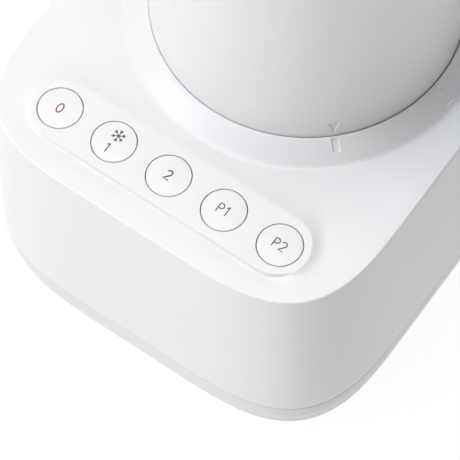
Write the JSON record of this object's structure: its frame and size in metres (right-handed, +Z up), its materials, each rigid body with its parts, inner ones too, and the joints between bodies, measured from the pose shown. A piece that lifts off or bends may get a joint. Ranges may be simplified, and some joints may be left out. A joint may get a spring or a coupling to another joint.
{
  "type": "countertop blender",
  "caption": "Countertop blender with a glass jug on a tall round collar, a square-shouldered motor base and a row of round push buttons in a raised panel.",
  "frame": {"origin": "on the motor's drive axis, in the plane that the feet stand on", "axes": "+X to the right along the button row, +Y to the back, +Z up along the drive axis"},
  "size_m": [0.2243, 0.223, 0.392],
  "materials": {
    "housing_white": "satin",
    "cover_white": "satin",
    "collar_white": "satin",
    "handle_white": "satin",
    "lid_white": "satin",
    "button_white": "satin",
    "trim_grey": "matt",
    "ring_grey": "satin",
    "holder_grey": "satin",
    "foot_rubber": "matt",
    "boot_rubber": "matt",
    "damper_rubber": "matt",
    "seal_rubber": "satin",
    "silicone": "satin",
    "black_plastic": "satin",
    "fan_grey": "satin",
    "coupler_black": "satin",
    "circuit_board": "solder mask",
    "capacitor_yellow": "gloss",
    "relay_blue": "gloss",
    "terminal_green": "satin",
    "screw_steel": "zinc plated",
    "lamination_steel": "varnished",
    "copper_wire": "enamelled",
    "commutator_copper": "turned",
    "cast_aluminium": "die cast",
    "bearing_steel": "ground",
    "shaft_steel": "ground",
    "spring_steel": "bright",
    "blade_steel": "brushed",
    "nut_steel": "polished",
    "band_steel": "brushed",
    "bush_bronze": "sintered",
    "brass": "pressed",
    "carbon": "matt",
    "jug_glass": "clear",
    "cap_clear": "clear"
  },
  "bodies": {
    "base": {"upper_housing": "housing_white", "bottom_cover": "cover_white", "rubber_feet": "foot_rubber", "cover_screws": "screw_steel", "cord_gland": "trim_grey", "switch_boot": "boot_rubber", "tact_switches": "black_plastic", "control_board": "circuit_board", "board_screws": "screw_steel", "suppression_capacitor": "capacitor_yellow", "power_relay": "relay_blue", "terminal_block": "terminal_green", "stator_core": "lamination_steel", "field_coils": "copper_wire", "upper_bracket": "cast_aluminium", "lower_bracket": "cast_aluminium", "upper_bearing": "bearing_steel", "lower_bearing": "bearing_steel", "brush_holders": "brass", "carbon_brushes": "carbon", "through_bolts": "screw_steel", "motor_mounts": "damper_rubber", "mount_screws": "screw_steel", "shaft_seal": "seal_rubber", "interlock_switch": "black_plastic"},
    "stop_button": {"stop_button": "button_white"},
    "speed_1_button": {"speed_1_button": "button_white"},
    "speed_2_button": {"speed_2_button": "button_white"},
    "pulse_1_button": {"pulse_1_button": "button_white"},
    "pulse_2_button": {"pulse_2_button": "button_white"},
    "rotor": {"motor_shaft": "shaft_steel", "rotor_core": "lamination_steel", "rotor_windings": "copper_wire", "commutator": "commutator_copper", "cooling_fan": "fan_grey", "base_coupler": "coupler_black"},
    "lock_ring": {"lock_ring": "ring_grey"},
    "plunger": {"interlock_plunger": "fan_grey", "plunger_spring": "spring_steel"},
    "jug": {"jug_collar": "collar_white", "blade_holder": "holder_grey", "jug_seal": "silicone", "blade_bush": "bush_bronze", "blade_seal": "seal_rubber", "glass_jug": "jug_glass", "jug_handle": "handle_white", "handle_bands": "band_steel"},
    "blade": {"jug_coupler": "coupler_black", "blade_shaft": "shaft_steel", "lower_blade": "blade_steel", "upper_blade": "blade_steel", "blade_nut": "nut_steel"},
    "lid": {"jug_lid": "lid_white", "lid_seal": "silicone"},
    "cap": {"filler_cap": "cap_clear"}
  },
  "joints": [
    {"name": "stop_press", "type": "slide", "parent": "base", "child": "stop_button", "axis": [0, 0, -1], "range_m": [0, 0.0012], "stiffness_N_per_m": 900, "springref_m": -0.0008},
    {"name": "speed_1_press", "type": "slide", "parent": "base", "child": "speed_1_button", "axis": [0, 0, -1], "range_m": [0, 0.0012], "stiffness_N_per_m": 900, "springref_m": -0.0008},
    {"name": "speed_2_press", "type": "slide", "parent": "base", "child": "speed_2_button", "axis": [0, 0, -1], "range_m": [0, 0.0012], "stiffness_N_per_m": 900, "springref_m": -0.0008},
    {"name": "pulse_1_press", "type": "slide", "parent": "base", "child": "pulse_1_button", "axis": [0, 0, -1], "range_m": [0, 0.0012], "stiffness_N_per_m": 900, "springref_m": -0.0008},
    {"name": "pulse_2_press", "type": "slide", "parent": "base", "child": "pulse_2_button", "axis": [0, 0, -1], "range_m": [0, 0.0012], "stiffness_N_per_m": 900, "springref_m": -0.0008},
    {"name": "motor_spin", "type": "hinge", "parent": "base", "child": "rotor", "pos_m": [0, 0, 0.06], "axis": [0, 0, 1], "continuous": true},
    {"name": "jug_twist", "type": "hinge", "parent": "base", "child": "lock_ring", "pos_m": [0, 0, 0.12], "axis": [0, 0, 1], "range_deg": [0, 41]},
    {"name": "interlock_travel", "type": "slide", "parent": "base", "child": "plunger", "axis": [0, 0, 1], "range_m": [0, 0.00252], "deforming": ["plunger_spring"]},
    {"name": "jug_lift", "type": "slide", "parent": "lock_ring", "child": "jug", "axis": [0, 0, 1], "range_m": [0, 0.12]},
    {"name": "blade_spin", "type": "hinge", "parent": "jug", "child": "blade", "pos_m": [0, 0, 0.16], "axis": [0, 0, 1], "continuous": true},
    {"name": "lid_lift", "type": "slide", "parent": "jug", "child": "lid", "axis": [0, 0, 1], "range_m": [0, 0.05]},
    {"name": "cap_lift", "type": "slide", "parent": "lid", "child": "cap", "axis": [0, 0, 1], "range_m": [0, 0.045]}
  ],
  "couplings": [
    {"joint": "blade_spin", "follows": "motor_spin", "ratio": 1},
    {"joint": "interlock_travel", "follows": "jug_twist", "m_per_rad": 0.0034936}
  ]
}
